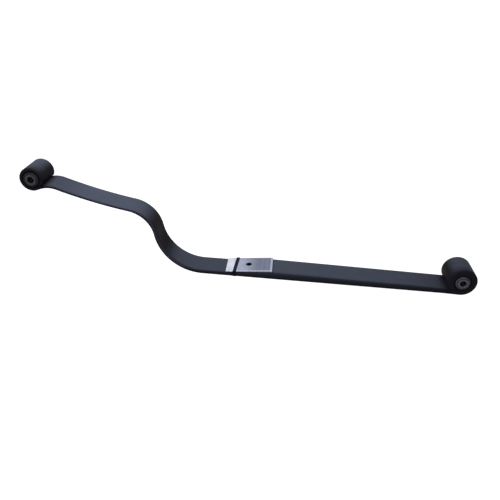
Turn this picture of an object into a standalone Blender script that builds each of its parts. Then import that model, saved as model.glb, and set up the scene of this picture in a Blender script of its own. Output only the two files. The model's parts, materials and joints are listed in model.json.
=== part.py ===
"""A cranked single-leaf suspension spring with a rubber bush in each eye, in metres.

X runs along the spring towards its rear eye, Y across it and Z up. The origin lies under the middle of the
spring's box, on the surface that it rests on. The bar is drawn from its underside: a walk from the rear eye
to the front eye gives points and headings, and the bar's thickness is laid on top of them.
"""
import math

import bmesh
import bpy
from mathutils import Vector

# Bar: widths, edge and the thickness at six places along the underside
LEAF_WIDTH = 0.080
EYE_WIDTH = 0.084
EYE_FLARE_LENGTH = 0.045
EDGE_RADIUS = 0.006
REAR_EYE_WALL = 0.018
SEAT_REAR_THICKNESS = 0.0252
SEAT_FRONT_THICKNESS = 0.0145
CRANK_THICKNESS = 0.0128
FRONT_ARM_THICKNESS = 0.008
FRONT_EYE_WALL = 0.010

# Underside, from the rear eye to the front eye
REAR_ARM_LENGTH = 0.736
CRANK_RADIUS = 0.142
CRANK_ANGLE = math.radians(77.1)
RISER_LENGTH = 0.005
SHOULDER_RADIUS = 0.086
SHOULDER_ANGLE = math.radians(67.5)
FRONT_ARM_LENGTH = 0.202
FRONT_ARM_SWEEP = math.radians(8.3)
HUMP_RADIUS = 0.064
HUMP_ANGLE = math.radians(39.4)
EYE_LEAD = 0.0095

# Eyes and bushes
REAR_EYE_BORE = 0.046
FRONT_EYE_BORE = 0.046
EYE_SLIT = 0.001
OUTER_SLEEVE_WALL = 0.003
OUTER_SLEEVE_INSET = 0.003
RUBBER_PROUD = 0.0015
RUBBER_SHOULDER = 0.003
INNER_SLEEVE_DIAMETER = 0.030
INNER_SLEEVE_PROUD = 0.003
BOLT_BORE = 0.018
SLEEVE_CHAMFER = 0.001

# Clamping seat: the pad lies on the bar and reaches to both sides of the centre hole
SEAT_TO_REAR_EYE = 0.604
PAD_FRONT_REACH = 0.0645
PAD_REAR_REACH = 0.069
PAD_WIDTH = 0.078
PAD_FRONT_THICKNESS = 0.001
PAD_REAR_THICKNESS = 0.004
PAD_EDGE = 0.0006
CENTRE_HOLE = 0.016
BAND_WIDTH = 0.010
BAND_THICKNESS = 0.0006
BAND_TO_HOLE = 0.037

# Fits, arm hinges and mesh fineness
CLEARANCE = 0.0003
FLEX_SHARE = 1 / 3
TURN_STEP = math.radians(7)
EYE_STEPS = 34
BUSH_STEPS = 48
CORNER_STEPS = 3

BENDS = (
    (REAR_ARM_LENGTH, 0.0),
    (CRANK_RADIUS * CRANK_ANGLE, CRANK_ANGLE),
    (RISER_LENGTH, 0.0),
    (SHOULDER_RADIUS * SHOULDER_ANGLE, -SHOULDER_ANGLE),
    (FRONT_ARM_LENGTH, FRONT_ARM_SWEEP),
    (HUMP_RADIUS * HUMP_ANGLE, -HUMP_ANGLE),
    (EYE_LEAD, 0.0),
)
UNDERSIDE_LENGTH = sum(length for length, _ in BENDS)
CRANK_END = sum(length for length, _ in BENDS[:2])
SHOULDER_END = sum(length for length, _ in BENDS[:4])
FRONT_ARM_END = sum(length for length, _ in BENDS[:5])
PAD_REAR = SEAT_TO_REAR_EYE - PAD_REAR_REACH
PAD_FRONT = SEAT_TO_REAR_EYE + PAD_FRONT_REACH
TAPER = (
    (0.0, REAR_EYE_WALL),
    (PAD_REAR, SEAT_REAR_THICKNESS),
    (PAD_FRONT, SEAT_FRONT_THICKNESS),
    (CRANK_END, CRANK_THICKNESS),
    (SHOULDER_END, FRONT_ARM_THICKNESS),
    (FRONT_ARM_END, FRONT_ARM_THICKNESS),
    (UNDERSIDE_LENGTH, FRONT_EYE_WALL),
)


def blend_along(stops, run):
    """Straight-line value at run between (place, value) stops."""
    for (start, low), (end, high) in zip(stops, stops[1:]):
        if run <= end:
            return low + (high - low) * (run - start) / (end - start)
    return stops[-1][1]


def underside(run):
    """Point (x, z) and heading of the underside, run metres from the rear eye; heading 0 points to -X."""
    point = Vector((0.0, 0.0))
    heading = 0.0
    for length, turn in BENDS:
        part = min(run, length)
        run -= part
        end = heading + turn * part / length
        if turn:
            radius = length / turn
            point += Vector((math.sin(heading) - math.sin(end), math.cos(heading) - math.cos(end))) * radius
        else:
            point += Vector((-math.cos(heading), math.sin(heading))) * part
        heading = end
        if run <= 0:
            break
    return point, heading


def upward(heading):
    """Unit vector square to the underside, on the bar's side of it."""
    return Vector((math.sin(heading), math.cos(heading)))


def top_of_bar(run):
    point, heading = underside(run)
    return point + upward(heading) * blend_along(TAPER, run)


class Eye:
    """An eye rolled up from the bar's end, in the plane of the walk."""

    def __init__(self, run, outwards, bore, wall):
        self.tangent, heading = underside(run)
        self.up = upward(heading)
        self.out = Vector((-math.cos(heading), math.sin(heading))) * outwards
        self.bore = bore / 2
        self.outer = self.bore + wall
        self.wall = wall
        self.centre = self.tangent + self.up * self.outer

    def on_circle(self, angle, radius):
        """Point at angle from the tangent point, going outwards and up."""
        return self.centre + (self.out * math.sin(angle) - self.up * math.cos(angle)) * radius

    def stations(self):
        """Outer and inner points round the eye; its tip is cut level, a slit above the bar's top."""
        outer_end = math.tau - math.acos(1 - (self.wall + EYE_SLIT) / self.outer)
        inner_end = math.tau - math.acos(1 - EYE_SLIT / self.bore)
        for step in range(1, EYE_STEPS + 1):
            share = step / EYE_STEPS
            angle = outer_end * share
            slant = (inner_end - outer_end) * max(0.0, 2 * share - 1)
            yield self.on_circle(angle, self.outer), self.on_circle(angle + slant, self.bore)


REAR_EYE = Eye(0.0, -1, REAR_EYE_BORE, REAR_EYE_WALL)
FRONT_EYE = Eye(UNDERSIDE_LENGTH, 1, FRONT_EYE_BORE, FRONT_EYE_WALL)
BAND_DROP = BAND_THICKNESS + CLEARANCE
BOX_MIDDLE = (REAR_EYE.centre.x + REAR_EYE.outer + FRONT_EYE.centre.x - FRONT_EYE.outer) / 2


def place(point, y=0.0):
    """World position of a point of the walk's plane."""
    return Vector((point.x - BOX_MIDDLE, y, point.y + BAND_DROP))


def material(name, colour, roughness, metallic):
    made = bpy.data.materials.new(name)
    made.use_nodes = True
    shader = made.node_tree.nodes["Principled BSDF"]
    shader.inputs["Base Color"].default_value = (*colour, 1.0)
    shader.inputs["Roughness"].default_value = roughness
    shader.inputs["Metallic"].default_value = metallic
    return made


def add_object(name, mesh, look, collection, location=(0, 0, 0), parent=None):
    """Put a mesh in the scene at a world location, under its parent empty."""
    made = bpy.data.objects.new(name, mesh)
    collection.objects.link(made)
    made.location = Vector(location) - (parent.location if parent else Vector())
    made.parent = parent
    if look:
        mesh.materials.append(look)
        mesh.shade_smooth()
        mesh.set_sharp_from_angle(angle=math.radians(40))
    return made


def add_empty(name, location, collection):
    made = bpy.data.objects.new(name, None)
    made.empty_display_size = LEAF_WIDTH
    made.location = location
    collection.objects.link(made)
    return made


def cut(piece, cutter):
    """Take a hidden cutter out of a piece."""
    step = piece.modifiers.new(cutter.name, "BOOLEAN")
    step.operation = "DIFFERENCE"
    step.object = cutter


def add_cutter(name, mesh, collection, location):
    made = add_object(name, mesh, None, collection, location)
    made.hide_render = True
    made.display_type = "WIRE"
    return made


def leaf_stations():
    """Lower point, upper point and half width of each section of the bar, from tip to tip."""
    runs = {0.0, PAD_REAR, PAD_FRONT}
    start = 0.0
    for length, turn in BENDS:
        steps = max(1, math.ceil(abs(turn) / TURN_STEP))
        runs.update(start + length * step / steps for step in range(1, steps + 1))
        start += length
    runs.update((EYE_FLARE_LENGTH, UNDERSIDE_LENGTH - EYE_FLARE_LENGTH))
    flare = (
        (0.0, EYE_WIDTH / 2),
        (EYE_FLARE_LENGTH, LEAF_WIDTH / 2),
        (UNDERSIDE_LENGTH - EYE_FLARE_LENGTH, LEAF_WIDTH / 2),
        (UNDERSIDE_LENGTH, EYE_WIDTH / 2),
    )
    rear = [(*pair, EYE_WIDTH / 2) for pair in REAR_EYE.stations()]
    bar = [(underside(run)[0], top_of_bar(run), blend_along(flare, run)) for run in sorted(runs)]
    front = [(*pair, EYE_WIDTH / 2) for pair in FRONT_EYE.stations()]
    return rear[::-1] + bar + front


def bar_section(lower, upper, half_width):
    """Points round one section: a rectangle whose corners are rounded, with the thickness as their limit."""
    rise = upper - lower
    thickness = rise.length
    radius = min(EDGE_RADIUS, 0.45 * thickness)
    corners = (
        (half_width - radius, thickness - radius),
        (radius - half_width, thickness - radius),
        (radius - half_width, radius),
        (half_width - radius, radius),
    )
    for quarter, (y, height) in enumerate(corners):
        for step in range(CORNER_STEPS + 1):
            angle = (quarter + step / CORNER_STEPS) * math.pi / 2
            up = height + radius * math.sin(angle)
            yield place(lower + rise * (up / thickness), y + radius * math.cos(angle))


def lofted(name, sections, joined=False):
    """Mesh of quads from section to section; the last one is joined to the first, or both are closed."""
    shell = bmesh.new()
    rings = [[shell.verts.new(point) for point in section] for section in sections]
    for ring, following in zip(rings, rings[1:] + rings[:1] if joined else rings[1:]):
        for i, corner in enumerate(ring):
            shell.faces.new((ring[i - 1], following[i - 1], following[i], corner))
    if not joined:
        shell.faces.new(rings[0])
        shell.faces.new(reversed(rings[-1]))
    mesh = bpy.data.meshes.new(name)
    shell.to_mesh(mesh)
    shell.free()
    return mesh


def main_leaf(parent, collection, cutters):
    """Loft of unlike sections along the walk and round both eyes, with the centre hole through it."""
    mesh = lofted("main_leaf", [bar_section(*station) for station in leaf_stations()])
    look = material("satin_black_paint", (0.022, 0.024, 0.032), 0.42, 0.0)
    leaf = add_object("main_leaf", mesh, look, collection, parent=parent)
    cut(leaf, hole_cutter("centre_hole_in_bar", cutters))
    return leaf


def hole_cutter(name, cutters):
    drill = bmesh.new()
    depth = 4 * (SEAT_REAR_THICKNESS + PAD_REAR_THICKNESS)
    radius = CENTRE_HOLE / 2
    bmesh.ops.create_cone(drill, cap_ends=True, segments=32, radius1=radius, radius2=radius, depth=depth)
    mesh = bpy.data.meshes.new(name)
    drill.to_mesh(mesh)
    drill.free()
    return add_cutter(name, mesh, cutters, place(underside(SEAT_TO_REAR_EYE)[0]))


def pad_top(run):
    """Height of the pad's top above the bar's top, along the bar's own slope."""
    return CLEARANCE + blend_along(((PAD_REAR, PAD_REAR_THICKNESS), (PAD_FRONT, PAD_FRONT_THICKNESS)), run)


def seat_pad(parent, collection, cutters):
    """A thin wedge on the bar's sloping seat, thicker towards the rear, with a hole over the centre hole."""
    wedge = bmesh.new()
    bmesh.ops.create_cube(wedge, size=1.0)
    for corner in wedge.verts:
        run = PAD_REAR if corner.co.x > 0 else PAD_FRONT
        rise = pad_top(run) if corner.co.z > 0 else CLEARANCE
        corner.co = place(top_of_bar(run) + Vector((0.0, rise)), corner.co.y * PAD_WIDTH)
    mesh = bpy.data.meshes.new("seat_pad")
    wedge.to_mesh(mesh)
    wedge.free()
    look = material("bare_zinc", (0.42, 0.44, 0.48), 0.45, 0.8)
    pad = add_object("seat_pad", mesh, look, collection, parent=parent)
    edge = pad.modifiers.new("edges", "BEVEL")
    edge.width = min(PAD_EDGE, 0.4 * PAD_FRONT_THICKNESS)
    edge.segments = 2
    cut(pad, hole_cutter("centre_hole_in_pad", cutters))
    return pad


def rounded_outline(half_width, bottom, top, bottom_radius, top_radius):
    """Points of a rectangle with rounded corners, in the band's own plane."""
    corners = (
        (half_width, top, top_radius, 0),
        (-half_width, top, top_radius, 1),
        (-half_width, bottom, bottom_radius, 2),
        (half_width, bottom, bottom_radius, 3),
    )
    for y, z, radius, quarter in corners:
        centre_y = y - math.copysign(radius, y)
        centre_z = z - radius if quarter < 2 else z + radius
        for step in range(CORNER_STEPS + 1):
            angle = (quarter + step / CORNER_STEPS) * math.pi / 2
            yield centre_y + radius * math.cos(angle), centre_z + radius * math.sin(angle)


def pad_band(parent, collection):
    """A flat band round the bar and the pad; its top follows the pad's slope."""
    run = SEAT_TO_REAR_EYE + BAND_TO_HOLE
    ends = [top_of_bar(at) + Vector((0.0, pad_top(at))) for at in (run - BAND_WIDTH / 2, run + BAND_WIDTH / 2)]
    slope = (ends[0].y - ends[1].y) / (ends[0].x - ends[1].x)
    middle = (ends[0] + ends[1]) / 2
    half = max(LEAF_WIDTH, PAD_WIDTH) / 2 + CLEARANCE
    top = middle.y + CLEARANCE
    low = min(EDGE_RADIUS, 0.45 * blend_along(TAPER, run)) + CLEARANCE
    high = PAD_EDGE + CLEARANCE
    grow = BAND_THICKNESS
    outer = rounded_outline(half + grow, -CLEARANCE - grow, top + grow, low + grow, high + grow)
    inner = rounded_outline(half, -CLEARANCE, top, low, high)
    sections = []
    for out, within in zip(outer, inner):
        section = []
        for (y, z), side in zip((out, out, within, within), (-1, 1, 1, -1)):
            along = side * BAND_WIDTH / 2
            tilt = slope * along if z > middle.y / 2 else 0.0
            section.append(place(Vector((middle.x + along, z + tilt)), y))
        sections.append(section)
    mesh = lofted("pad_band", sections, joined=True)
    look = material("black_band", (0.008, 0.009, 0.013), 0.55, 0.0)
    return add_object("pad_band", mesh, look, collection, parent=parent)


def turned(name, profile, look, collection, location, parent):
    """A ring turned about Y from a closed (radius, y) profile that runs down its outer side first."""
    mesh = bpy.data.meshes.new(name)
    count = len(profile)
    edges = [(i, (i + 1) % count) for i in range(count)]
    mesh.from_pydata([(radius, 0.0, height) for radius, height in profile], edges, [])
    ring = add_object(name, mesh, look, collection, location, parent)
    ring.rotation_euler.x = math.pi / 2
    turn = ring.modifiers.new("turn", "SCREW")
    turn.steps = BUSH_STEPS
    turn.render_steps = BUSH_STEPS
    turn.use_merge_vertices = True
    turn.merge_threshold = 0.00001
    return ring


def mirrored(half_profile):
    """Close a profile given from its outer middle over the top to its inner middle."""
    return [(radius, -height) for radius, height in reversed(half_profile)] + half_profile


def sleeve_profile(outer, inner, half_length):
    """Plain tube with chamfered ends, down the outer side and up the bore."""
    chamfer = min(SLEEVE_CHAMFER, 0.4 * (outer - inner))
    return [
        (outer, half_length - chamfer),
        (outer, chamfer - half_length),
        (outer - chamfer, -half_length),
        (inner + chamfer, -half_length),
        (inner, chamfer - half_length),
        (inner, half_length - chamfer),
        (inner + chamfer, half_length),
        (outer - chamfer, half_length),
    ]


def rubber_profile(outer, inner, half_length):
    """Bonded rubber whose faces stand proud with a round shoulder."""
    shoulder = min(RUBBER_SHOULDER, 0.45 * (outer - inner))
    round_over = []
    for step in range(5):
        angle = step / 4 * math.pi / 2
        inset = shoulder * (1 - math.cos(angle))
        round_over.append((outer - inset, half_length - shoulder + shoulder * math.sin(angle)))
    down_face = [(radius, -height) for radius, height in round_over]
    return round_over[::-1] + down_face + [(inner, -half_length), (inner, half_length)]


def bush(end, eye, parent, collection, looks):
    """Outer sleeve pressed in the eye, rubber bonded inside it and a thick inner sleeve for the bolt."""
    centre = place(eye.centre)
    sleeve_outer = eye.bore - CLEARANCE
    sleeve_inner = sleeve_outer - OUTER_SLEEVE_WALL
    inner_outer = INNER_SLEEVE_DIAMETER / 2
    half_eye = EYE_WIDTH / 2
    profiles = {
        "outer_sleeve": sleeve_profile(sleeve_outer, sleeve_inner, half_eye - OUTER_SLEEVE_INSET),
        "rubber": rubber_profile(sleeve_inner - CLEARANCE, inner_outer + CLEARANCE, half_eye + RUBBER_PROUD),
        "inner_sleeve": sleeve_profile(inner_outer, BOLT_BORE / 2, half_eye + INNER_SLEEVE_PROUD),
    }
    for piece, profile in profiles.items():
        turned(f"{end}_bush_{piece}", profile, looks[piece], collection, centre, parent)


def arm_pivot(run):
    """Point in the bar's middle about which the rest of an arm turns as it flexes."""
    return place((underside(run)[0] + top_of_bar(run)) / 2)


def main():
    for old in list(bpy.data.objects):
        bpy.data.objects.remove(old)
    parts = bpy.data.collections.new("leaf_spring")
    cutters = bpy.data.collections.new("cutters")
    bpy.context.scene.collection.children.link(parts)
    bpy.context.scene.collection.children.link(cutters)

    frame = add_empty("spring_frame", Vector(), parts)
    rear_pivot = add_empty("rear_arm_pivot", arm_pivot(PAD_REAR * (1 - FLEX_SHARE)), parts)
    front_free = UNDERSIDE_LENGTH - PAD_FRONT
    front_pivot = add_empty("front_arm_pivot", arm_pivot(PAD_FRONT + front_free * FLEX_SHARE), parts)

    main_leaf(frame, parts, cutters)
    seat_pad(frame, parts, cutters)
    pad_band(frame, parts)
    looks = {
        "outer_sleeve": material("black_steel", (0.03, 0.03, 0.035), 0.5, 0.3),
        "rubber": material("dusty_rubber", (0.09, 0.09, 0.1), 0.75, 0.0),
        "inner_sleeve": material("plated_steel", (0.3, 0.3, 0.32), 0.45, 0.7),
    }
    bush("front", FRONT_EYE, front_pivot, parts, looks)
    bush("rear", REAR_EYE, rear_pivot, parts, looks)


main()
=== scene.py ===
"""Looks of a cranked single-leaf spring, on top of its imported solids. Laid out as an add-on, run as a script.

Each piece is a surface worked out over a grid: a profile carried along a path, with the path's and the
profile's points computed as whole arrays. Lengths are in metres; X runs towards the rear eye and Z up.
"""
import json
import math

import bpy
import numpy as np
from bpy.props import FloatProperty, FloatVectorProperty, PointerProperty
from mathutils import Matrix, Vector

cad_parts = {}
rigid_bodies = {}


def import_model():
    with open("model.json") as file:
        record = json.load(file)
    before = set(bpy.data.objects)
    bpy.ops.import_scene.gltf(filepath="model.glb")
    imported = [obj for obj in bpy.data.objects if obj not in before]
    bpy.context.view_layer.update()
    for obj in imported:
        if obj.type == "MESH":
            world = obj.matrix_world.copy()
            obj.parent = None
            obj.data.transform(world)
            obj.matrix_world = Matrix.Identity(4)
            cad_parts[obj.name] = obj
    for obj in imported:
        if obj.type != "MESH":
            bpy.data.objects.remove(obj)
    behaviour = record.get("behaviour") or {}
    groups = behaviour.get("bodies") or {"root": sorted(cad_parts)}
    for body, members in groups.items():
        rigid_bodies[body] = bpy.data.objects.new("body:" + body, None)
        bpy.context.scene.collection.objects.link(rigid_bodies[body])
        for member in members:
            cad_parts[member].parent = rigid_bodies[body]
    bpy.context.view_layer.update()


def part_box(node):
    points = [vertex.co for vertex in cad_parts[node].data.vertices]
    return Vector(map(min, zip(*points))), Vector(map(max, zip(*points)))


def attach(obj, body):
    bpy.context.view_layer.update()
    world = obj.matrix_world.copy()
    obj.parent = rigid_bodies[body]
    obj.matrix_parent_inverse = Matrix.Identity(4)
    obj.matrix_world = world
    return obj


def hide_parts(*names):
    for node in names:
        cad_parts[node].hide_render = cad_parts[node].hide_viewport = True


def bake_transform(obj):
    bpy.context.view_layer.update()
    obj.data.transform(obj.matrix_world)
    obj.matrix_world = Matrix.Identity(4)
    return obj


bl_info = {
    "name": "Leaf Spring",
    "version": (1, 0, 0),
    "blender": (4, 5, 0),
    "location": "3D View > Sidebar > Leaf Spring",
    "description": "Builds a cranked leaf spring with bushed eyes and a banded seat pad, on a white floor",
    "category": "Add Mesh",
}

for old in list(bpy.data.objects):
    bpy.data.objects.remove(old)
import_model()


def size(name, description, default):
    """A length in metres."""
    return FloatProperty(
        name=name, description=description, default=default, min=0.0, unit="LENGTH", precision=4
    )


def turn(name, description, degrees):
    """An angle, given in degrees and kept in radians."""
    return FloatProperty(name=name, description=description, default=math.radians(degrees), subtype="ANGLE")


def colour(name, description, default):
    """A linear colour."""
    return FloatVectorProperty(
        name=name, description=description, default=default, size=3, min=0.0, max=1.0, subtype="COLOR"
    )


class LeafSpringBar(bpy.types.PropertyGroup):
    """Sizes of the bar and its two eyes, the same as the solid's."""

    leaf_width: size("Leaf width", "Width of the bar between its eyes", 0.080)
    eye_width: size("Eye width", "Length of each eye's barrel", 0.084)
    flare: size("Flare", "Length over which the bar widens towards an eye", 0.045)
    edge: size("Edge", "Radius of the bar's rolled edges", 0.006)
    rear_arm: size("Rear arm", "Straight underside from the rear eye to the crank", 0.736)
    crank_radius: size("Crank radius", "Radius of the upward bend", 0.142)
    crank_turn: turn("Crank turn", "Angle of the upward bend", 77.1)
    riser: size("Riser", "Straight length between the two bends", 0.005)
    shoulder_radius: size("Shoulder radius", "Radius of the bend at the top of the crank", 0.086)
    shoulder_turn: turn("Shoulder turn", "Angle of the bend at the top of the crank", 67.5)
    front_arm: size("Front arm", "Length of the gently swept front arm", 0.202)
    front_sweep: turn("Front sweep", "Angle through which the front arm sweeps up", 8.3)
    hump_radius: size("Hump radius", "Radius of the bend before the front eye", 0.064)
    hump_turn: turn("Hump turn", "Angle of the bend before the front eye", 39.4)
    eye_lead: size("Eye lead", "Straight length before the front eye", 0.0095)
    rear_wall: size("Rear wall", "Bar thickness at the rear eye", 0.018)
    seat_rear: size("Seat rear", "Bar thickness at the rear end of the seat", 0.0252)
    seat_front: size("Seat front", "Bar thickness at the front end of the seat", 0.0145)
    crank_thickness: size("Crank thickness", "Bar thickness at the top of the upward bend", 0.0128)
    arm_thickness: size("Arm thickness", "Bar thickness along the front arm", 0.008)
    front_wall: size("Front wall", "Bar thickness at the front eye", 0.010)
    rear_bore: size("Rear bore", "Bore of the rear eye", 0.046)
    front_bore: size("Front bore", "Bore of the front eye", 0.046)
    slit: size("Slit", "Gap between an eye's tip and the bar", 0.001)


class LeafSpringSeat(bpy.types.PropertyGroup):
    """Sizes of the clamping seat: its pad, its band and the centre hole."""

    to_rear_eye: size("To rear eye", "Distance from the rear eye to the centre hole", 0.604)
    front_reach: size("Front reach", "From the centre hole to the pad's front end", 0.0645)
    rear_reach: size("Rear reach", "From the centre hole to the pad's rear end", 0.069)
    pad_width: size("Pad width", "Width of the pad across the bar", 0.078)
    pad_front: size("Pad front", "Thickness of the pad at its front end", 0.001)
    pad_rear: size("Pad rear", "Thickness of the pad at its rear end", 0.004)
    pad_corner: size("Pad corner", "Radius of the pad's corners", 0.0012)
    pad_edge: size("Pad edge", "Rounding of the pad's upper edges", 0.0004)
    hole: size("Centre hole", "Diameter of the locating hole", 0.016)
    band_width: size("Band width", "Width of the band along the bar", 0.010)
    band_thickness: size("Band thickness", "Thickness of the band", 0.0006)
    band_to_hole: size("Band to hole", "Distance from the centre hole to the band", 0.037)
    band_skew: turn("Band skew", "Angle by which the band lies askew across the bar", 3.3)
    band_corner: size("Band corner", "Radius of the band's inside corners over the pad", 0.0009)
    band_edge: size("Band edge", "Rounding of the band's edges", 0.0002)
    gap: size("Fit gap", "Clearance between fitted pieces", 0.0003)


class LeafSpringBushes(bpy.types.PropertyGroup):
    """Sizes of the bushes that their solids' boxes don't give."""

    bolt_bore: size("Bolt bore", "Bore of the inner sleeves", 0.018)
    sleeve_wall: size("Sleeve wall", "Wall of the outer sleeves", 0.003)
    sleeve_edge: size("Sleeve edge", "Rounding of the sleeves' ends", 0.0009)
    shoulder: size("Rubber shoulder", "Rounding of the rubber's outer edge", 0.003)
    dish: size("Rubber dish", "Depth of the hollow in the rubber's faces", 0.0016)
    gap: size("Fit gap", "Clearance between the rubber and the inner sleeve", 0.0003)


class LeafSpringFinishes(bpy.types.PropertyGroup):
    """Colours of the finishes."""

    paint: colour("Paint", "Satin black paint on the bar", (0.0130, 0.0106, 0.0146))
    # Tints of the pale dust and painted sheen on the paint's upward faces
    bloom: colour("Bloom", "Violet-grey film on the paint's upward faces", (0.0735, 0.0775, 0.108))
    cool_dust_and_sheen: colour("Cool bloom", "Bluer patches of that film", (0.065, 0.0785, 0.110))
    plate: colour("Plate", "Bare metal of the seat pad", (0.330, 0.345, 0.470))
    plate_green: colour("Green plate", "Greenish patches on the seat pad", (0.245, 0.300, 0.370))
    plate_pale: colour("Pale plate", "Clean end of the seat pad", (0.595, 0.608, 0.700))
    plate_dull: colour("Dull plate", "Rubbed end of the seat pad", (0.135, 0.155, 0.222))
    # Painted highlight along the seat pad's rear edge
    plate_edge_highlight: colour("Plate lip", "Bright lip at the seat pad's rear end", (0.46, 0.49, 0.62))
    band: colour("Band", "Band round the bar and the pad", (0.0040, 0.0065, 0.0180))
    band_worn: colour("Worn band", "Paler patches of that band", (0.012, 0.016, 0.032))
    rubber: colour("Rubber", "Dusty rubber of the bushes", (0.044, 0.041, 0.056))
    rubber_bloom: colour("Rubber bloom", "Grey bloom in patches on that rubber", (0.084, 0.080, 0.102))
    plating: colour("Plating", "Dull plating of the inner sleeves", (0.080, 0.076, 0.090))
    plating_stain: colour("Stained plating", "Darker patches of that plating", (0.055, 0.049, 0.056))
    oxide: colour("Oxide", "Dark oxide of the outer sleeves", (0.014, 0.011, 0.013))
    oxide_stain: colour("Stained oxide", "Browner patches of that oxide", (0.020, 0.014, 0.013))


class LeafSpringStage(bpy.types.PropertyGroup):
    """Camera, lights and floor."""

    camera_place: FloatVectorProperty(
        name="Camera place", description="Where the camera stands", default=(0.06299, -1.35098, 0.81559),
        subtype="TRANSLATION", unit="LENGTH",
    )
    camera_turn: FloatVectorProperty(
        name="Camera turn", description="How the camera is turned", default=(1.06684, -0.04926, 0.07736),
        subtype="EULER",
    )
    lens: FloatProperty(
        name="Lens", description="Focal length on a 36 mm sensor, in millimetres", default=38.452
    )
    lamp_place: FloatVectorProperty(
        name="Lamp place", description="Where the softbox hangs", default=(-0.50, 0.10, 1.25),
        subtype="TRANSLATION", unit="LENGTH",
    )
    lamp_width: size("Lamp width", "Side of the square softbox", 0.9)
    lamp_power: FloatProperty(
        name="Lamp power", description="Power of the softbox", default=13.0, unit="POWER"
    )
    lamp_colour: colour("Lamp colour", "Cool white of the softbox", (0.95, 0.975, 1.0))
    sky: FloatProperty(name="Sky", description="Strength of the even light from all round", default=0.30)
    sky_colour: colour("Sky colour", "Cool white of that light", (0.97, 0.985, 1.0))
    floor: colour("Floor", "Colour of the floor in the light", (0.36, 0.355, 0.35))
    floor_drop: size("Floor drop", "How far the floor lies below the bar, to clear a flexed arm", 0.055)
    floor_reach: size("Floor reach", "From the middle of the floor to its sides", 30.0)
    floor_white: FloatProperty(
        name="Floor white", description="White added to the floor where it is looked at", default=0.95,
        min=0.0, max=1.0,
    )


# Places of points on flat sides, as shares of a side
FLATS = (0.04, 0.35, 0.65, 0.96)
PAD_FLATS = np.linspace(0, 1, 26)[1:-1]
PAD_RULES = (0.03, 0.35, 0.7, 0.97)
BAND_FLATS = np.linspace(0, 1, 12)[1:-1]
BAND_SECTION_FLATS = (0.05, 0.5, 0.95)

# Distance between the bar's stations, and the angle above which an edge stays sharp
STATION_STEP = 0.004
SHARP = math.radians(35)

# The most of a thickness that a rounding takes
ROUNDING_LIMIT = 0.45

# Where the middle point of the pad's eased edges lies, as a share of the way in and down
PART_ROUND = 0.3

# The outer sleeves' share of the sleeves' rounding
THIN_SLEEVE_ROUNDING = 0.4

# How far the drill reaches below and above the bar's underside
DRILL_BELOW = 0.02
DRILL_ABOVE = 0.06

# Name of the attribute that holds the pale dust and painted sheen, from 0 to 1; where it is thin, the dark
# paint gives painted shade
DUST_AND_SHEEN = "dust_and_sheen"

# Heights of the unit normal at which the dust and painted sheen start and are full on the bar: places in
# metres, then values
DUST_AND_SHEEN_STARTS_BY_HEIGHT = (0.05, 0.15), (0.53, 0.50)
DUST_AND_SHEEN_FULL_BY_HEIGHT = (0.05, 0.15), (0.84, 0.94)

# Painted light on the sides, darker towards the floor as painted shade; painted shade in the crease beside an
# eye; painted sheen along a barrel: places in metres, then values
SIDE_LIGHT_BY_HEIGHT = (0.0, 0.010, 0.024), (0.0, 0.28, 0.8)
CREASE_SHADE_BY_GAP_TO_EYE = (0.0, 0.02, 0.13), (0.0, 0.7, 1.0)
BARREL_SHEEN_ALONG = (0.006, 0.030, 0.084), (0.2, 0.85, 1.0)

# Heights over which the seat's own share of dust and painted sheen gives way to a full one
SEAT_HEIGHTS = (0.03, 0.10)

# Heights of the unit normal over which the painted sheen eases in on a barrel, and the share of dust and
# painted sheen on its ends
BARREL_NORMALS = (0.4, 1.0)
BARREL_END_SHEEN = 0.2

# Gap to an eye's outside up to which a point counts as on the eye
ON_BARREL = 0.0002

# The middle of a noise's range, where most of it lies
NOISE_MIDDLE = (0.3, 0.7)

# Stretch of X over which a finish changes from the front bush to the rear one
BETWEEN_BUSHES = (-0.3, 0.3)

# Zones of the seat pad, as shares of its length from its front end
PAD_CLEAN_END = (0.22, 0.26)
PAD_RUBBED = (0.28, 0.72)
PAD_STREAKED = (0.3, 0.9)
# The last zone is a painted highlight along the pad's rear edge
PAD_EDGE_HIGHLIGHT = (0.945, 0.965)

# Reach of the painted shade round the hole from the middle of the hole, as a share of the hole's diameter
HOLE_SHADE_REACH = 0.62

# Width of the painted highlight along the pad's side edges
PAD_SIDE_HIGHLIGHT_WIDTH = 0.006

# Width of the camera's sensor, in millimetres
SENSOR_WIDTH = 36.0


def rounded_loop(left, right, bottom, top, low, high, steps=8, flats=FLATS):
    """Points round rectangles with arcs for corners, counter-clockwise from the right side's upper corner.

    A corner is centre + radius (cos a, sin a) over a quarter turn a, with radius low at the bottom and high
    at the top; the sides between the arcs are shared out by flats. Sizes may be arrays of one shape s; the
    result is s + (count, 2).
    """
    left, right, bottom, top, low, high = np.broadcast_arrays(left, right, bottom, top, low, high)
    radius = np.stack([high, high, low, low], -1)[..., None, None]
    across = np.stack([right - high, left + high, left + low, right - low], -1)
    up = np.stack([top - high, top - high, bottom + low, bottom + low], -1)
    angle = (np.arange(4)[:, None] + np.linspace(0, 1, steps + 1)) * math.pi / 2
    corners = np.stack([across, up], -1)[..., None, :] + radius * np.stack([np.cos(angle), np.sin(angle)], -1)
    share = np.array(flats)[:, None]
    sides = corners[..., -1:, :] * (1 - share) + np.roll(corners, -1, axis=-3)[..., :1, :] * share
    loop = np.concatenate([corners, sides], axis=-2)
    return loop.reshape(*loop.shape[:-3], -1, 2)


def spread(points):
    """Running distance along the first axis of a path of points, closed back to its start."""
    steps = np.linalg.norm(np.diff(points, axis=0, append=points[:1]), axis=-1)
    return np.concatenate([[0.0], np.cumsum(steps)])


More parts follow.
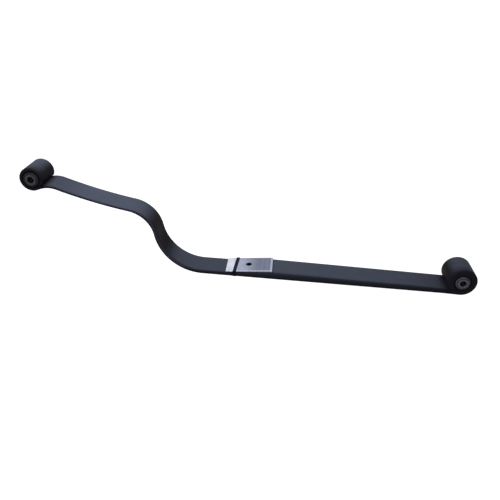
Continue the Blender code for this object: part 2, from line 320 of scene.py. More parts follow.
def grid_object(name, points, joined, finish):
    """Object over a grid of points (stations, places round, 3), with quads between neighbours.

    Places round always join up, and run clockwise as seen along the stations, so that faces point outwards.
    Stations join up too, or else both ends are closed by a face. The UV map holds the distances along the
    middle of the grid's two directions.
    """
    count, width = points.shape[:2]
    row, place = np.meshgrid(np.arange(count if joined else count - 1), np.arange(width), indexing="ij")
    next_row, next_place = (row + 1) % count, (place + 1) % width
    corners = ((row, place), (next_row, place), (next_row, next_place), (row, next_place))
    faces = np.stack([i * width + j for i, j in corners], -1).reshape(-1, 4).tolist()
    along, around = spread(points.mean(1)), spread(points[count // 2])
    u = np.stack([along[row], along[row + 1], along[row + 1], along[row]], -1)
    v = np.stack([around[place], around[place], around[place + 1], around[place + 1]], -1)
    maps = [np.stack([u, v], -1).reshape(-1, 2)]
    if not joined:
        faces += [list(range(width)), list(range(count * width - 1, (count - 1) * width - 1, -1))]
        maps += [points[0][:, 1:], points[-1][::-1, 1:]]
    mesh = bpy.data.meshes.new(name)
    mesh.from_pydata(points.reshape(-1, 3), [], faces)
    surface = mesh.uv_layers.new(name="surface")
    surface.uv.foreach_set("vector", np.concatenate(maps).astype(np.float32).ravel())
    mesh.shade_smooth()
    mesh.set_sharp_from_angle(angle=SHARP)
    mesh.materials.append(finish)
    made = bpy.data.objects.new(name, mesh)
    bpy.context.scene.collection.objects.link(made)
    return made


def bends(bar):
    """Length and turn of each stretch of the bar's underside, from the rear eye to the front eye."""
    stretches = (
        (bar.rear_arm, 0.0),
        (bar.crank_radius * bar.crank_turn, bar.crank_turn),
        (bar.riser, 0.0),
        (bar.shoulder_radius * bar.shoulder_turn, -bar.shoulder_turn),
        (bar.front_arm, bar.front_sweep),
        (bar.hump_radius * bar.hump_turn, -bar.hump_turn),
        (bar.eye_lead, 0.0),
    )
    return np.array(stretches).T


def stride(length, heading, turned):
    """Step (x, z) over an arc that turns by t, along its mean heading: length times sin(t / 2) / (t / 2)."""
    mean = heading + turned / 2
    reach = length * np.sinc(turned / math.tau)
    return np.stack([-reach * np.cos(mean), reach * np.sin(mean)], -1)


def underside(bar, run):
    """Points (x, z) and headings of the underside at distances run from the rear eye. Heading 0 is -X."""
    length, turned = bends(bar)
    start = np.cumsum(length) - length
    heading = np.cumsum(turned) - turned
    steps = stride(length, heading, turned)
    corner = np.cumsum(steps, axis=0) - steps
    at = np.clip(np.searchsorted(start, run, side="right") - 1, 0, len(length) - 1)
    part = run - start[at]
    so_far = turned[at] * part / length[at]
    return corner[at] + stride(part, heading[at], so_far), heading[at] + so_far


def pad_ends(seat):
    """Distances from the rear eye to the pad's rear and front ends."""
    return seat.to_rear_eye - seat.rear_reach, seat.to_rear_eye + seat.front_reach


def taper(bar, seat, run):
    """Bar thickness at distances run from the rear eye: straight lines between the places that set it."""
    ends = np.cumsum(bends(bar)[0])
    places = (0.0, *pad_ends(seat), ends[1], ends[3], ends[4], ends[6])
    along_seat = bar.rear_wall, bar.seat_rear, bar.seat_front, bar.crank_thickness
    return np.interp(run, places, (*along_seat, bar.arm_thickness, bar.arm_thickness, bar.front_wall))


def upward(heading):
    """Unit vector (x, z) square to a heading h, from the underside to the top: (sin h, cos h)."""
    return np.stack([np.sin(heading), np.cos(heading)], -1)


def rolled_eye(bar, run, outwards, bore, wall, steps=96):
    """Outer and inner points (x, z) round an eye rolled up from the bar, from the bar to its tip.

    At angle a and radius r a point is centre + r (out sin a - up cos a). The tip is cut level, a slit above
    the bar's top, so over the second half of the turn the inner angle runs ahead of or behind the outer one.
    """
    tangent, heading = underside(bar, np.array([run]))
    up, out = upward(heading), np.stack([-np.cos(heading), np.sin(heading)], -1) * outwards
    inner, outer = bore / 2, bore / 2 + wall
    outer_end = math.tau - math.acos(1 - (wall + bar.slit) / outer)
    inner_end = math.tau - math.acos(1 - bar.slit / inner)
    share = np.arange(1, steps + 1) / steps
    angle = outer_end * share
    within = angle + (inner_end - outer_end) * np.maximum(0, 2 * share - 1)

    def circle(a, radius):
        return tangent + up * outer + (out * np.sin(a)[:, None] - up * np.cos(a)[:, None]) * radius

    return circle(angle, outer), circle(within, inner)


def pad_top(bar, seat, run):
    """Heights of the bar's top and of the pad's top over the seat, in the frame, at distances run."""
    bar_top = underside(bar, run)[0][..., 1] + taper(bar, seat, run) + shift_to_frame(bar)[1]
    return bar_top, bar_top + seat.gap + np.interp(run, pad_ends(seat), (seat.pad_rear, seat.pad_front))


def shift_to_frame(bar):
    """Step (x, z) from the walk's own zero to the frame: the rear bush's middle gives the rear eye's."""
    low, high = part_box("rear_bush_inner_sleeve")
    middle = (low + high) / 2
    return np.array([middle.x, middle.z - bar.rear_bore / 2 - bar.rear_wall])


def bar_surface(bar, seat, first, last):
    """Grid of the bar between two distances from the rear eye, with the eye at an end that it reaches."""
    total = bends(bar)[0].sum()
    keys = np.concatenate([
        np.arange(first, last, STATION_STEP), np.cumsum(bends(bar)[0]), pad_ends(seat),
        [first, last, bar.flare, total - bar.flare],
    ])
    run = np.unique(np.clip(np.round(keys, 6), first, last))
    lower, heading = underside(bar, run)
    upper = lower + upward(heading) * taper(bar, seat, run)[:, None]
    flare = (0.0, bar.flare, total - bar.flare, total)
    widths = np.interp(run, flare, (bar.eye_width, bar.leaf_width, bar.leaf_width, bar.eye_width)) / 2
    if first == 0.0:
        outer, inner = rolled_eye(bar, 0.0, -1, bar.rear_bore, bar.rear_wall)
        lower, upper = np.concatenate([outer[::-1], lower]), np.concatenate([inner[::-1], upper])
        widths = np.concatenate([np.full(len(outer), bar.eye_width / 2), widths])
    else:
        outer, inner = rolled_eye(bar, total, 1, bar.front_bore, bar.front_wall)
        lower, upper = np.concatenate([lower, outer]), np.concatenate([upper, inner])
        widths = np.concatenate([widths, np.full(len(outer), bar.eye_width / 2)])
    rise = upper - lower
    thick = np.linalg.norm(rise, axis=-1)
    radius = np.minimum(bar.edge, ROUNDING_LIMIT * thick)
    loop = rounded_loop(-widths, widths, 0.0, thick, radius, radius)
    plane = lower[:, None] + rise[:, None] * (loop[..., 1:] / thick[:, None, None]) + shift_to_frame(bar)
    return np.stack([plane[..., 0], loop[..., 0], plane[..., 1]], -1)


def ease(value, low, high):
    """Smooth step from 0 at low to 1 at high: s s (3 - 2 s), s being the share of the way between them."""
    share = np.clip((value - low) / (high - low), 0, 1)
    return share * share * (3 - 2 * share)


def settle_dust_and_sheen(piece, bush, radius, cover, by_seat):
    """An attribute from 0 to 1: how thick the pale dust and painted sheen lie on each point of half a bar.

    On the bar's top they ease in with the height of the unit normal, over a narrower range low down than high
    up, and low down, by the seat, only by_seat of them lies. On the sides they fade towards the floor, as
    painted shade low down. Both thin out into the crease beside the eye, by the gap between a point and the
    eye's outside, as painted shade in the crease. On the eye's barrel they ease in with the normal, as a
    painted sheen along its top, up to cover, and thin out towards the near end. A trace lies on the barrel's
    ends.
    """
    mesh = piece.data
    low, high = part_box(bush)
    middle = (low + high) / 2
    places, normals = np.empty((2, len(mesh.vertices), 3), np.float32)
    mesh.vertices.foreach_get("co", places.ravel())
    mesh.vertices.foreach_get("normal", normals.ravel())
    along, across, height = places.T
    aside, upright = np.abs(normals[:, 1]), normals[:, 2]
    gap = np.hypot(along - middle.x, height - middle.z) - radius
    start, full = np.interp(height, *DUST_AND_SHEEN_STARTS_BY_HEIGHT), np.interp(height, *DUST_AND_SHEEN_FULL_BY_HEIGHT)
    on_top = ease(upright, start, full) * np.interp(height, SEAT_HEIGHTS, (by_seat, 1.0))
    # Painted light on the sides, fading to painted shade towards the floor
    on_sides = np.interp(height, *SIDE_LIGHT_BY_HEIGHT) * aside
    # Painted shade in the crease beside the eye
    on_bar = np.maximum(on_top, on_sides) * np.interp(gap, *CREASE_SHADE_BY_GAP_TO_EYE)
    fade = np.interp(across - low.y, *BARREL_SHEEN_ALONG)
    # Painted sheen along the barrel's top
    on_eye = np.maximum(cover * ease(upright, *BARREL_NORMALS) * fade, BARREL_END_SHEEN * aside)
    dust_and_sheen = np.where(gap > ON_BARREL, on_bar, on_eye)
    mesh.attributes.new(DUST_AND_SHEEN, "FLOAT", "POINT").data.foreach_set("value", dust_and_sheen.astype(np.float32))


def drill(piece, centre, radius, low, high, steps=64):
    """Cut an upright round hole through a piece, from low to high, and keep the result as its mesh."""
    angle = np.linspace(math.tau, 0, steps, endpoint=False)
    ring = np.stack([centre[0] + radius * np.cos(angle), centre[1] + radius * np.sin(angle), 0 * angle], -1)
    ends = np.stack([ring + (0, 0, low), ring + (0, 0, high)])
    cutter = grid_object("drill", ends, False, piece.data.materials[0])
    bore = piece.modifiers.new("bore", "BOOLEAN")
    bore.operation, bore.object, bore.solver = "DIFFERENCE", cutter, "EXACT"
    whole = piece.data
    piece.data = bpy.data.meshes.new_from_object(piece.evaluated_get(bpy.context.evaluated_depsgraph_get()))
    piece.modifiers.clear()
    bpy.data.meshes.remove(whole)
    bpy.data.meshes.remove(cutter.data)
    piece.data.name = piece.name
    piece.data.set_sharp_from_angle(angle=SHARP)


def turned_ring(name, profile, node, finish, steps=128):
    """Surface of revolution about Y through the node's middle: (r cos a, y, r sin a) for a profile (r, y)."""
    low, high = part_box(node)
    middle = (low + high) / 2
    angle = np.linspace(math.tau, 0, steps, endpoint=False)[:, None]
    radius, height = profile[:, 0], profile[:, 1]
    points = np.stack(
        [middle.x + radius * np.cos(angle), height + 0 * angle, middle.z + radius * np.sin(angle)], -1
    )
    made = grid_object(name, points, True, finish)
    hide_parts(node)
    return made


class Finish:
    """A material under construction. A node's inputs are values or other nodes' sockets."""

    def __init__(self, name):
        self.material = bpy.data.materials.new(name)
        self.material.use_nodes = True
        self.tree = self.material.node_tree
        self.shader = self.tree.nodes["Principled BSDF"]
        self.places = self.add("TexCoord")

    def add(self, kind, inputs=None, **settings):
        """New node of a kind, with its settings and inputs."""
        made = self.tree.nodes.new("ShaderNode" + kind)
        for setting, value in settings.items():
            setattr(made, setting, value)
        return self.feed(made, inputs or {})

    def feed(self, node, inputs):
        """Set or link a node's inputs, by name or number."""
        for socket, value in inputs.items():
            if isinstance(value, bpy.types.NodeSocket):
                self.tree.links.new(value, node.inputs[socket])
            else:
                node.inputs[socket].default_value = value
        return node

    def noise(self, scale, detail=3.0, roughness=0.55, stretch=None, over="Object"):
        """Noise over the piece, or over a stretched copy of its coordinates."""
        vector = self.places.outputs[over]
        if stretch:
            vector = self.add("Mapping", {"Vector": vector, "Scale": stretch}).outputs[0]
        inputs = {"Vector": vector, "Scale": scale, "Detail": detail, "Roughness": roughness}
        return self.add("TexNoise", inputs).outputs["Fac"]

    def remap(self, value, low, high, to_low, to_high, smooth=False):
        """Number that goes from to_low to to_high as value goes from low to high, and stays there beyond."""
        kind = "SMOOTHSTEP" if smooth else "LINEAR"
        inputs = {"Value": value, "From Min": low, "From Max": high, "To Min": to_low, "To Max": to_high}
        return self.add("MapRange", inputs, interpolation_type=kind).outputs["Result"]

    def vary(self, noise, low, high):
        """Number from low to high over the middle of a noise's range, where most of it lies."""
        return self.remap(noise, *NOISE_MIDDLE, low, high)

    def math(self, operation, first, second=0.0):
        """Result of an operation on one or two numbers."""
        return self.add("Math", {0: first, 1: second}, operation=operation).outputs[0]

    def mix(self, share, first, second):
        """Colour that goes from first to second as share goes from 0 to 1."""
        colours = {
            6: first if isinstance(first, bpy.types.NodeSocket) else (*first, 1.0),
            7: second if isinstance(second, bpy.types.NodeSocket) else (*second, 1.0),
        }
        return self.add("Mix", {0: share, **colours}, data_type="RGBA").outputs[2]

    def shaded(self, colour_socket, amount):
        """Colour scaled by a number that varies over the surface."""
        return self.add("VectorMath", {0: colour_socket, "Scale": amount}, operation="SCALE").outputs[0]

    def towards_rear(self, front, rear):
        """Number that differs between the front bush and the rear one, which lie far apart along X."""
        along = self.add("SeparateXYZ", {0: self.places.outputs["Object"]}).outputs["X"]
        return self.remap(along, *BETWEEN_BUSHES, front, rear)

    def bump(self, height, strength, depth):
        """Normal tilted by a height that varies over the surface."""
        return self.add("Bump", {"Height": height, "Strength": strength, "Distance": depth}).outputs[0]

    def finish(self, **inputs):
        """The material, with the shader's inputs given by name, with _ for each space."""
        named = {socket.replace("_", " "): value for socket, value in inputs.items()}
        self.feed(self.shader, named)
        return self.material


def paint_finish(colours):
    """Satin black paint: pale dust and a painted sheen on upward faces, painted shade in the creases by the
    eyes and low on the sides, faint rolling lines along the bar and orange peel.
    """
    paint = Finish("satin_black_paint")
    # The attribute's pale dust and painted sheen, broken into patches; where it is thin the dark paint gives
    # painted shade
    settled = paint.add("Attribute", attribute_name=DUST_AND_SHEEN).outputs["Fac"]
    cloud = paint.noise(11.0, detail=4.0, roughness=0.6)
    blotch = paint.noise(38.0)
    lines = paint.noise(1.0, detail=4.0, roughness=0.6, stretch=(7.0, 160.0, 1.0), over="UV")
    specks = paint.noise(650.0, detail=2.0)
    patchy = paint.math("ADD", paint.vary(cloud, 0.38, 0.56), paint.vary(blotch, 0.44, 0.58))
    dust_and_sheen = paint.math("MULTIPLY", settled, patchy)
    tone = paint.math("ADD", paint.vary(lines, 0.44, 0.56), paint.vary(specks, 0.44, 0.56))
    # Tint of the dust and painted sheen
    bloom = paint.mix(paint.remap(blotch, 0.35, 0.65, 0.0, 1.0), colours.bloom, colours.cool_dust_and_sheen)
    skin = paint.shaded(paint.mix(dust_and_sheen, colours.paint, bloom), tone)
    peel = paint.math("ADD", paint.noise(380.0, detail=2.0), paint.math("MULTIPLY", lines, 0.6))
    return paint.finish(
        Base_Color=skin, Roughness=paint.vary(cloud, 0.52, 0.66), Specular_IOR_Level=0.02,
        Normal=paint.bump(peel, strength=0.10, depth=0.0004),
    )


def plate_finish(colours, hole_x, seat):
    """Bare rolled plate: pale at its clean front end, bluish in its middle, dull and streaked to the rear, with
    a painted highlight along its rear edge and its sides and painted shade round its hole.
    """
    plate = Finish("bare_plate")
    spot = plate.add("SeparateXYZ", {0: plate.places.outputs["Object"]}).outputs
    share = plate.remap(spot["X"], hole_x - seat.front_reach, hole_x + seat.rear_reach, 0.0, 1.0)
    off_hole = plate.math("SUBTRACT", spot["X"], hole_x)
    squares = plate.math("ADD", plate.math("POWER", off_hole, 2.0), plate.math("POWER", spot["Y"], 2.0))
    from_hole = plate.math("SQRT", squares)
    aside = plate.math("ABSOLUTE", spot["Y"])
    side = 0.5 * seat.pad_width
    cloud = plate.noise(45.0, roughness=0.6)
    stain = plate.noise(27.0, roughness=0.6, stretch=(1.0, 0.7, 1.0))
    streaks = plate.noise(1.0, detail=4.0, roughness=0.6, stretch=(260.0, 14.0, 14.0))
    scratches = plate.noise(1.0, detail=2.0, roughness=0.5, stretch=(60.0, 1400.0, 60.0))
    wander = plate.math("ADD", share, plate.vary(cloud, -0.03, 0.03))
    clean = plate.remap(wander, *PAD_CLEAN_END, 1.0, 0.0, smooth=True)
    rubbed = plate.remap(wander, *PAD_RUBBED, 0.0, 1.0, smooth=True)
    # Painted highlight along the pad's rear edge
    lip = plate.remap(share, *PAD_EDGE_HIGHLIGHT, 0.0, 0.75, smooth=True)
    # Painted shade: the bar's dark paint colour round the hole's rim, darkening the hole's edge
    rim = plate.remap(from_hole, 0.5 * seat.hole, HOLE_SHADE_REACH * seat.hole, 0.95, 0.0, smooth=True)
    # Painted highlight along the pad's side edges, in the pale plate colour
    side_highlight = plate.remap(aside, side - PAD_SIDE_HIGHLIGHT_WIDTH, side, 0.0, 0.6, smooth=True)
    tint = plate.mix(plate.remap(stain, 0.40, 0.60, 0.0, 1.0), colours.plate, colours.plate_green)
    white = plate.shaded(colours.plate_pale, plate.vary(cloud, 0.86, 1.08))
    skin = plate.mix(rubbed, tint, colours.plate_dull)
    for amount, over in (
        (lip, colours.plate_edge_highlight), (clean, white), (rim, colours.paint), (side_highlight, colours.plate_pale)
    ):
        skin = plate.mix(amount, skin, over)
    depth = plate.remap(share, *PAD_STREAKED, 0.35, 1.0)
    streaked = plate.math("MULTIPLY", plate.vary(streaks, -0.16, 0.16), depth)
    tone = plate.math("ADD", plate.math("ADD", streaked, plate.vary(scratches, -0.05, 0.05)), 1.0)
    grain = plate.bump(plate.math("ADD", scratches, streaks), strength=0.08, depth=0.0002)
    return plate.finish(
        Base_Color=plate.shaded(skin, tone), Metallic=0.5, Roughness=plate.vary(cloud, 0.44, 0.58),
        Normal=grain,
    )


def band_finish(colours):
    """Matte dark band with a faint lengthwise grain."""
    band = Finish("matte_band")
    grain = band.noise(1.0, roughness=0.6, stretch=(60.0, 900.0, 1.0), over="UV")
    cloud = band.noise(60.0)
    skin = band.mix(band.remap(cloud, 0.35, 0.75, 0.0, 0.5), colours.band, colours.band_worn)
    return band.finish(
        Base_Color=band.shaded(skin, band.vary(grain, 0.85, 1.15)), Roughness=band.vary(cloud, 0.55, 0.7),
        Specular_IOR_Level=0.06, Normal=band.bump(grain, strength=0.1, depth=0.0002),
    )


def rubber_finish(colours):
    """Bush rubber: grey bloom in patches, moulding rings round it and a fine matte skin."""
    rubber = Finish("dusty_rubber")
    cloud = rubber.noise(70.0, detail=4.0, roughness=0.6)
    rings = rubber.noise(1.0, detail=2.0, roughness=0.5, stretch=(3.0, 700.0, 1.0), over="UV")
    skin = rubber.mix(rubber.remap(cloud, 0.38, 0.7, 0.0, 1.0), colours.rubber, colours.rubber_bloom)
    tone = rubber.math("MULTIPLY", rubber.vary(rings, 0.85, 1.15), rubber.towards_rear(0.7, 2.2))
    return rubber.finish(
        Base_Color=rubber.shaded(skin, tone), Roughness=rubber.vary(cloud, 0.7, 0.85),
        Specular_IOR_Level=0.3, Normal=rubber.bump(rings, strength=0.15, depth=0.0003),
    )


def sleeve_finish(name, base, stain, metallic, roughness, gloss):
    """Turned steel: fine rings round the axis, with a stain in patches."""
    steel = Finish(name)
    cloud = steel.noise(55.0, detail=4.0, roughness=0.6)
    rings = steel.noise(1.0, detail=2.0, roughness=0.5, stretch=(2.0, 1600.0, 1.0), over="UV")
    skin = steel.mix(steel.remap(cloud, 0.4, 0.75, 0.0, 0.8), base, stain)
    tone = steel.math("MULTIPLY", steel.vary(rings, 0.85, 1.15), steel.towards_rear(0.65, 0.95))
    return steel.finish(
        Base_Color=steel.shaded(skin, tone), Metallic=metallic, Specular_IOR_Level=gloss,
        Roughness=steel.vary(cloud, roughness - 0.06, roughness + 0.08),
        Normal=steel.bump(rings, strength=0.12, depth=0.0002),
    )


class LEAFSPRING_OT_make_leaf(bpy.types.Operator):
    """Make the bar in two halves that meet under the band"""

    bl_idname = "leaf_spring.make_leaf"
    bl_label = "Make Leaf"

    def execute(self, context):
        bar, seat = context.scene.leaf_spring_bar, context.scene.leaf_spring_seat
        finish = paint_finish(context.scene.leaf_spring_finishes)
        shift = shift_to_frame(bar)
        total = bends(bar)[0].sum()
        meeting = seat.to_rear_eye + seat.band_to_hole
        rear = grid_object("leaf_rear_half", bar_surface(bar, seat, 0.0, meeting), False, finish)
        front = grid_object("leaf_front_half", bar_surface(bar, seat, meeting, total), False, finish)
        rear_radius, front_radius = bar.rear_bore / 2 + bar.rear_wall, bar.front_bore / 2 + bar.front_wall
        settle_dust_and_sheen(rear, "rear_bush_inner_sleeve", rear_radius, cover=1.0, by_seat=1.0)
        settle_dust_and_sheen(front, "front_bush_inner_sleeve", front_radius, cover=0.8, by_seat=0.8)
        hole = (shift[0] - seat.to_rear_eye, 0.0)
        drill(rear, hole, seat.hole / 2, shift[1] - DRILL_BELOW, shift[1] + DRILL_ABOVE)
        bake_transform(rear)
        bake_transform(front)
        for half in (rear, front):
            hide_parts("main_leaf")
        return {"FINISHED"}


class LEAFSPRING_OT_make_seat_pad(bpy.types.Operator):
    """Make the wedge pad on the bar's seat: lines ruled from its centre hole to its outline"""

    bl_idname = "leaf_spring.make_seat_pad"
    bl_label = "Make Seat Pad"

    def execute(self, context):
        bar, seat = context.scene.leaf_spring_bar, context.scene.leaf_spring_seat
        hole_x = shift_to_frame(bar)[0] - seat.to_rear_eye
        front, rear, side = seat.front_reach, seat.rear_reach, seat.pad_width / 2
        bore, edge = seat.hole / 2, seat.pad_edge

        def outline(inset):
            half, corner = side - inset, seat.pad_corner - inset
            return rounded_loop(inset - front, rear - inset, -half, half, corner, corner, 6, PAD_FLATS)

        rim = outline(edge)
        ray = rim / np.linalg.norm(rim, axis=-1, keepdims=True)
        lip = ray * (bore + edge)
        flats = [ray * bore, ray * bore, ray * (bore + PART_ROUND * edge), lip]
        flats += [lip * (1 - share) + rim * share for share in PAD_RULES]
        flats += [rim, outline(PART_ROUND * edge), outline(0.0), outline(0.0)]
        drops = np.array([0, 1, PART_ROUND, 0, 0, 0, 0, 0, 0, PART_ROUND, 1, 0]) * edge
        flat = np.stack(flats, 1)
        under, over = pad_top(bar, seat, seat.to_rear_eye - flat[..., 0])
        height = over - drops
        height[:, [0, -1]] = under[:, [0, -1]] + seat.gap
        grid = np.stack([hole_x + flat[..., 0], flat[..., 1], height], -1)
        finish = plate_finish(context.scene.leaf_spring_finishes, hole_x, seat)
        made = grid_object("seat_plate", grid[::-1], True, finish)
        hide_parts("seat_pad")
        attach(made, "leaf")
        return {"FINISHED"}


class LEAFSPRING_OT_make_pad_band(bpy.types.Operator):
    """Make the flat band: a thin section with rounded edges carried round the bar and the pad, askew"""

    bl_idname = "leaf_spring.make_pad_band"
    bl_label = "Make Pad Band"

    def execute(self, context):
        bar, seat = context.scene.leaf_spring_bar, context.scene.leaf_spring_seat
        shift = shift_to_frame(bar)
        run = seat.to_rear_eye + seat.band_to_hole
        reach = seat.band_width / 2
        _, over = pad_top(bar, seat, np.array([run - reach, run, run + reach]))
        slope = (over[0] - over[2]) / seat.band_width
        section = rounded_loop(
            -reach, reach, 0.0, seat.band_thickness, seat.band_edge, seat.band_edge, 4, BAND_SECTION_FLATS
        )
        along, grow = section[:, 0], section[:, 1]
        half = bar.leaf_width / 2 + seat.gap
        corner = min(bar.edge, ROUNDING_LIMIT * float(taper(bar, seat, run))) + seat.gap
        loops = rounded_loop(
            -half - grow, half + grow, shift[1] - seat.gap - grow, over[1] + seat.gap + grow,
            corner + grow, seat.band_corner + grow, 8, BAND_FLATS,
        ).swapaxes(0, 1)
        offset = along + math.tan(seat.band_skew) * loops[..., 0]
        lean = slope * offset * np.clip((loops[..., 1] - shift[1]) / (over[1] - shift[1]), 0, 1)
        grid = np.stack([shift[0] - run + offset, loops[..., 0], loops[..., 1] + lean], -1)
        made = grid_object("seat_band", grid[::-1], True, band_finish(context.scene.leaf_spring_finishes))
        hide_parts("pad_band")
        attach(made, "leaf")
        return {"FINISHED"}


class LEAFSPRING_OT_make_bushes(bpy.types.Operator):
    """Make both bushes: an outer sleeve, dished rubber and an inner sleeve for the bolt in each eye"""

    bl_idname = "leaf_spring.make_bushes"
    bl_label = "Make Bushes"

    def execute(self, context):
        sizes, colours = context.scene.leaf_spring_bushes, context.scene.leaf_spring_finishes
        rubber = rubber_finish(colours)
        plating = sleeve_finish(
            "dull_plating", colours.plating, colours.plating_stain, metallic=0.5, roughness=0.5, gloss=0.4
        )
        oxide = sleeve_finish(
            "dark_oxide", colours.oxide, colours.oxide_stain, metallic=0.0, roughness=0.75, gloss=0.1
        )
        edge = sizes.sleeve_edge
        thin_edge = THIN_SLEEVE_ROUNDING * edge
        for end in ("front", "rear"):
            eye, bolt = f"{end}_eye", f"{end}_bolt_sleeve"
            outer_node, rubber_node, inner_node = (
                f"{end}_bush_{name}" for name in ("outer_sleeve", "rubber", "inner_sleeve")
            )
            outer, half = self.reach(outer_node)
            shell = rounded_loop(outer - sizes.sleeve_wall, outer, -half, half, thin_edge, thin_edge, 4)
            inner, half = self.reach(inner_node)
            core = rounded_loop(sizes.bolt_bore / 2, inner, -half, half, edge, edge, 6)
            filling = self.rubber_profile(inner + sizes.gap, *self.reach(rubber_node), sizes)
            made = (
                (turned_ring(f"{end}_outer_sleeve", shell, outer_node, oxide), eye, "dark_steel"),
                (turned_ring(f"{end}_rubber", filling, rubber_node, rubber), eye, "rubber"),
                (turned_ring(f"{end}_inner_sleeve", core, inner_node, plating), bolt, "plated_steel"),
            )
            for piece, body, slot in made:
                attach(piece, body)
        return {"FINISHED"}

    @staticmethod
    def reach(node):
        """Radius and half length of a turned solid, from its box."""
        low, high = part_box(node)
        return (high.x - low.x) / 2, (high.y - low.y) / 2

    @staticmethod
    def rubber_profile(inner, outer, half, sizes):
        """Profile (r, y) of the rubber between the sleeves, with a round shoulder outside.

        Its faces sink by dish sin(pi s), s running from 0 at the inner sleeve to 1 at the shoulder.
        """
        shoulder = min(sizes.shoulder, ROUNDING_LIMIT * (outer - inner))
        share, angle = np.linspace(0, 1, 15), np.linspace(0, math.pi / 2, 9)[1:]
        flat, round_over = outer - shoulder - inner, shoulder * (1 - np.cos(angle))
        radius = np.concatenate([inner + flat * share, outer - shoulder + shoulder * np.sin(angle)])
        drop = np.concatenate([sizes.dish * np.sin(math.pi * share), round_over])
        face = np.stack([radius, half - drop], -1)
        return np.concatenate([face * (1, -1), face[::-1]])


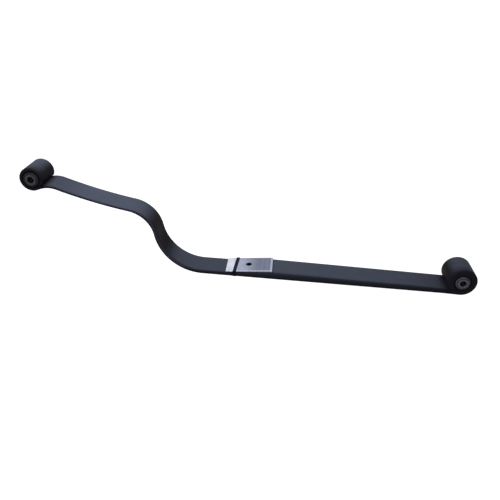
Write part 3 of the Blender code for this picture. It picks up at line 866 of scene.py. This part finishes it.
class LEAFSPRING_OT_set_stage(bpy.types.Operator):
    """Set the white floor, the softbox, the even sky light and the camera"""

    bl_idname = "leaf_spring.set_stage"
    bl_label = "Set Stage"

    def execute(self, context):
        scene, stage = context.scene, context.scene.leaf_spring_stage
        floor = self.floor(stage)
        lamp = bpy.data.lights.new("softbox", "AREA")
        lamp.size, lamp.energy, lamp.color = stage.lamp_width, stage.lamp_power, stage.lamp_colour
        hung = bpy.data.objects.new("softbox", lamp)
        hung.location = stage.lamp_place
        hung.rotation_euler = (-hung.location).to_track_quat("-Z", "Y").to_euler()
        scene.collection.objects.link(hung)
        self.sky(scene, stage)
        camera = bpy.data.objects.new("camera", bpy.data.cameras.new("camera"))
        camera.location, camera.rotation_euler = stage.camera_place, stage.camera_turn
        camera.data.lens, camera.data.sensor_width = stage.lens, SENSOR_WIDTH
        scene.collection.objects.link(camera)
        scene.camera = camera
        scene.view_settings.view_transform = "Standard"
        return {"FINISHED"}

    @staticmethod
    def looked_at(tree):
        """1 for rays from the camera or off a glossy or clear surface, and 0 for rays that carry light."""
        path = tree.nodes.new("ShaderNodeLightPath").outputs
        total = path["Is Camera Ray"]
        for ray in ("Is Glossy Ray", "Is Transmission Ray"):
            both = tree.nodes.new("ShaderNodeMath")
            both.operation = "MAXIMUM"
            tree.links.new(total, both.inputs[0])
            tree.links.new(path[ray], both.inputs[1])
            total = both.outputs[0]
        return total

    def floor(self, stage):
        """A wide flat floor: lit pale grey, with white added where it is looked at, so that shadows stay.

        It lies low enough for the rear arm at its lowest.
        """
        ends = np.array([-stage.floor_reach, stage.floor_reach])
        x, y = np.meshgrid(ends, ends)
        mesh = bpy.data.meshes.new("floor")
        mesh.from_pydata(np.stack([x, y, 0 * x - stage.floor_drop], -1).reshape(-1, 3), [], [(0, 1, 3, 2)])
        look = bpy.data.materials.new("pale_floor")
        look.use_nodes = True
        tree = look.node_tree
        shader = tree.nodes["Principled BSDF"]
        shader.inputs["Base Color"].default_value = (*stage.floor, 1.0)
        shader.inputs["Roughness"].default_value = 1.0
        shader.inputs["Specular IOR Level"].default_value = 0.0
        shader.inputs["Emission Color"].default_value = (1.0, 1.0, 1.0, 1.0)
        white = tree.nodes.new("ShaderNodeMath")
        white.operation = "MULTIPLY"
        white.inputs[1].default_value = stage.floor_white
        tree.links.new(self.looked_at(tree), white.inputs[0])
        tree.links.new(white.outputs[0], shader.inputs["Emission Strength"])
        mesh.materials.append(look)
        floor = bpy.data.objects.new("floor", mesh)
        bpy.context.scene.collection.objects.link(floor)
        return floor

    def sky(self, scene, stage):
        """Even light from all round, and white where it is looked at."""
        scene.world = bpy.data.worlds.new("even_sky")
        scene.world.use_nodes = True
        tree = scene.world.node_tree
        light = tree.nodes["Background"]
        light.inputs["Color"].default_value = (*stage.sky_colour, 1.0)
        light.inputs["Strength"].default_value = stage.sky
        white = tree.nodes.new("ShaderNodeBackground")
        white.inputs["Color"].default_value = (1.0, 1.0, 1.0, 1.0)
        mixed = tree.nodes.new("ShaderNodeMixShader")
        tree.links.new(self.looked_at(tree), mixed.inputs[0])
        tree.links.new(light.outputs[0], mixed.inputs[1])
        tree.links.new(white.outputs[0], mixed.inputs[2])
        tree.links.new(mixed.outputs[0], tree.nodes["World Output"].inputs["Surface"])


STEPS = (
    LEAFSPRING_OT_make_leaf,
    LEAFSPRING_OT_make_seat_pad,
    LEAFSPRING_OT_make_pad_band,
    LEAFSPRING_OT_make_bushes,
    LEAFSPRING_OT_set_stage,
)
GROUPS = {
    "leaf_spring_bar": LeafSpringBar,
    "leaf_spring_seat": LeafSpringSeat,
    "leaf_spring_bushes": LeafSpringBushes,
    "leaf_spring_finishes": LeafSpringFinishes,
    "leaf_spring_stage": LeafSpringStage,
}


class LEAFSPRING_PT_sidebar(bpy.types.Panel):
    """Sizes, colours and steps of the leaf spring"""

    bl_idname = "LEAFSPRING_PT_sidebar"
    bl_label = "Leaf Spring"
    bl_space_type = "VIEW_3D"
    bl_region_type = "UI"
    bl_category = "Leaf Spring"

    def draw(self, context):
        for step in STEPS:
            self.layout.operator(step.bl_idname)
        for held in GROUPS:
            group = getattr(context.scene, held)
            box = self.layout.box()
            for name in group.__annotations__:
                box.prop(group, name)


def register():
    for held, group in GROUPS.items():
        bpy.utils.register_class(group)
        setattr(bpy.types.Scene, held, PointerProperty(type=group))
    for step in (*STEPS, LEAFSPRING_PT_sidebar):
        bpy.utils.register_class(step)


def unregister():
    for step in (LEAFSPRING_PT_sidebar, *reversed(STEPS)):
        bpy.utils.unregister_class(step)
    for held, group in GROUPS.items():
        delattr(bpy.types.Scene, held)
        bpy.utils.unregister_class(group)


def main():
    register()
    bpy.ops.leaf_spring.make_leaf()
    bpy.ops.leaf_spring.make_seat_pad()
    bpy.ops.leaf_spring.make_pad_band()
    bpy.ops.leaf_spring.make_bushes()
    bpy.ops.leaf_spring.set_stage()


if __name__ == "__main__":
    main()
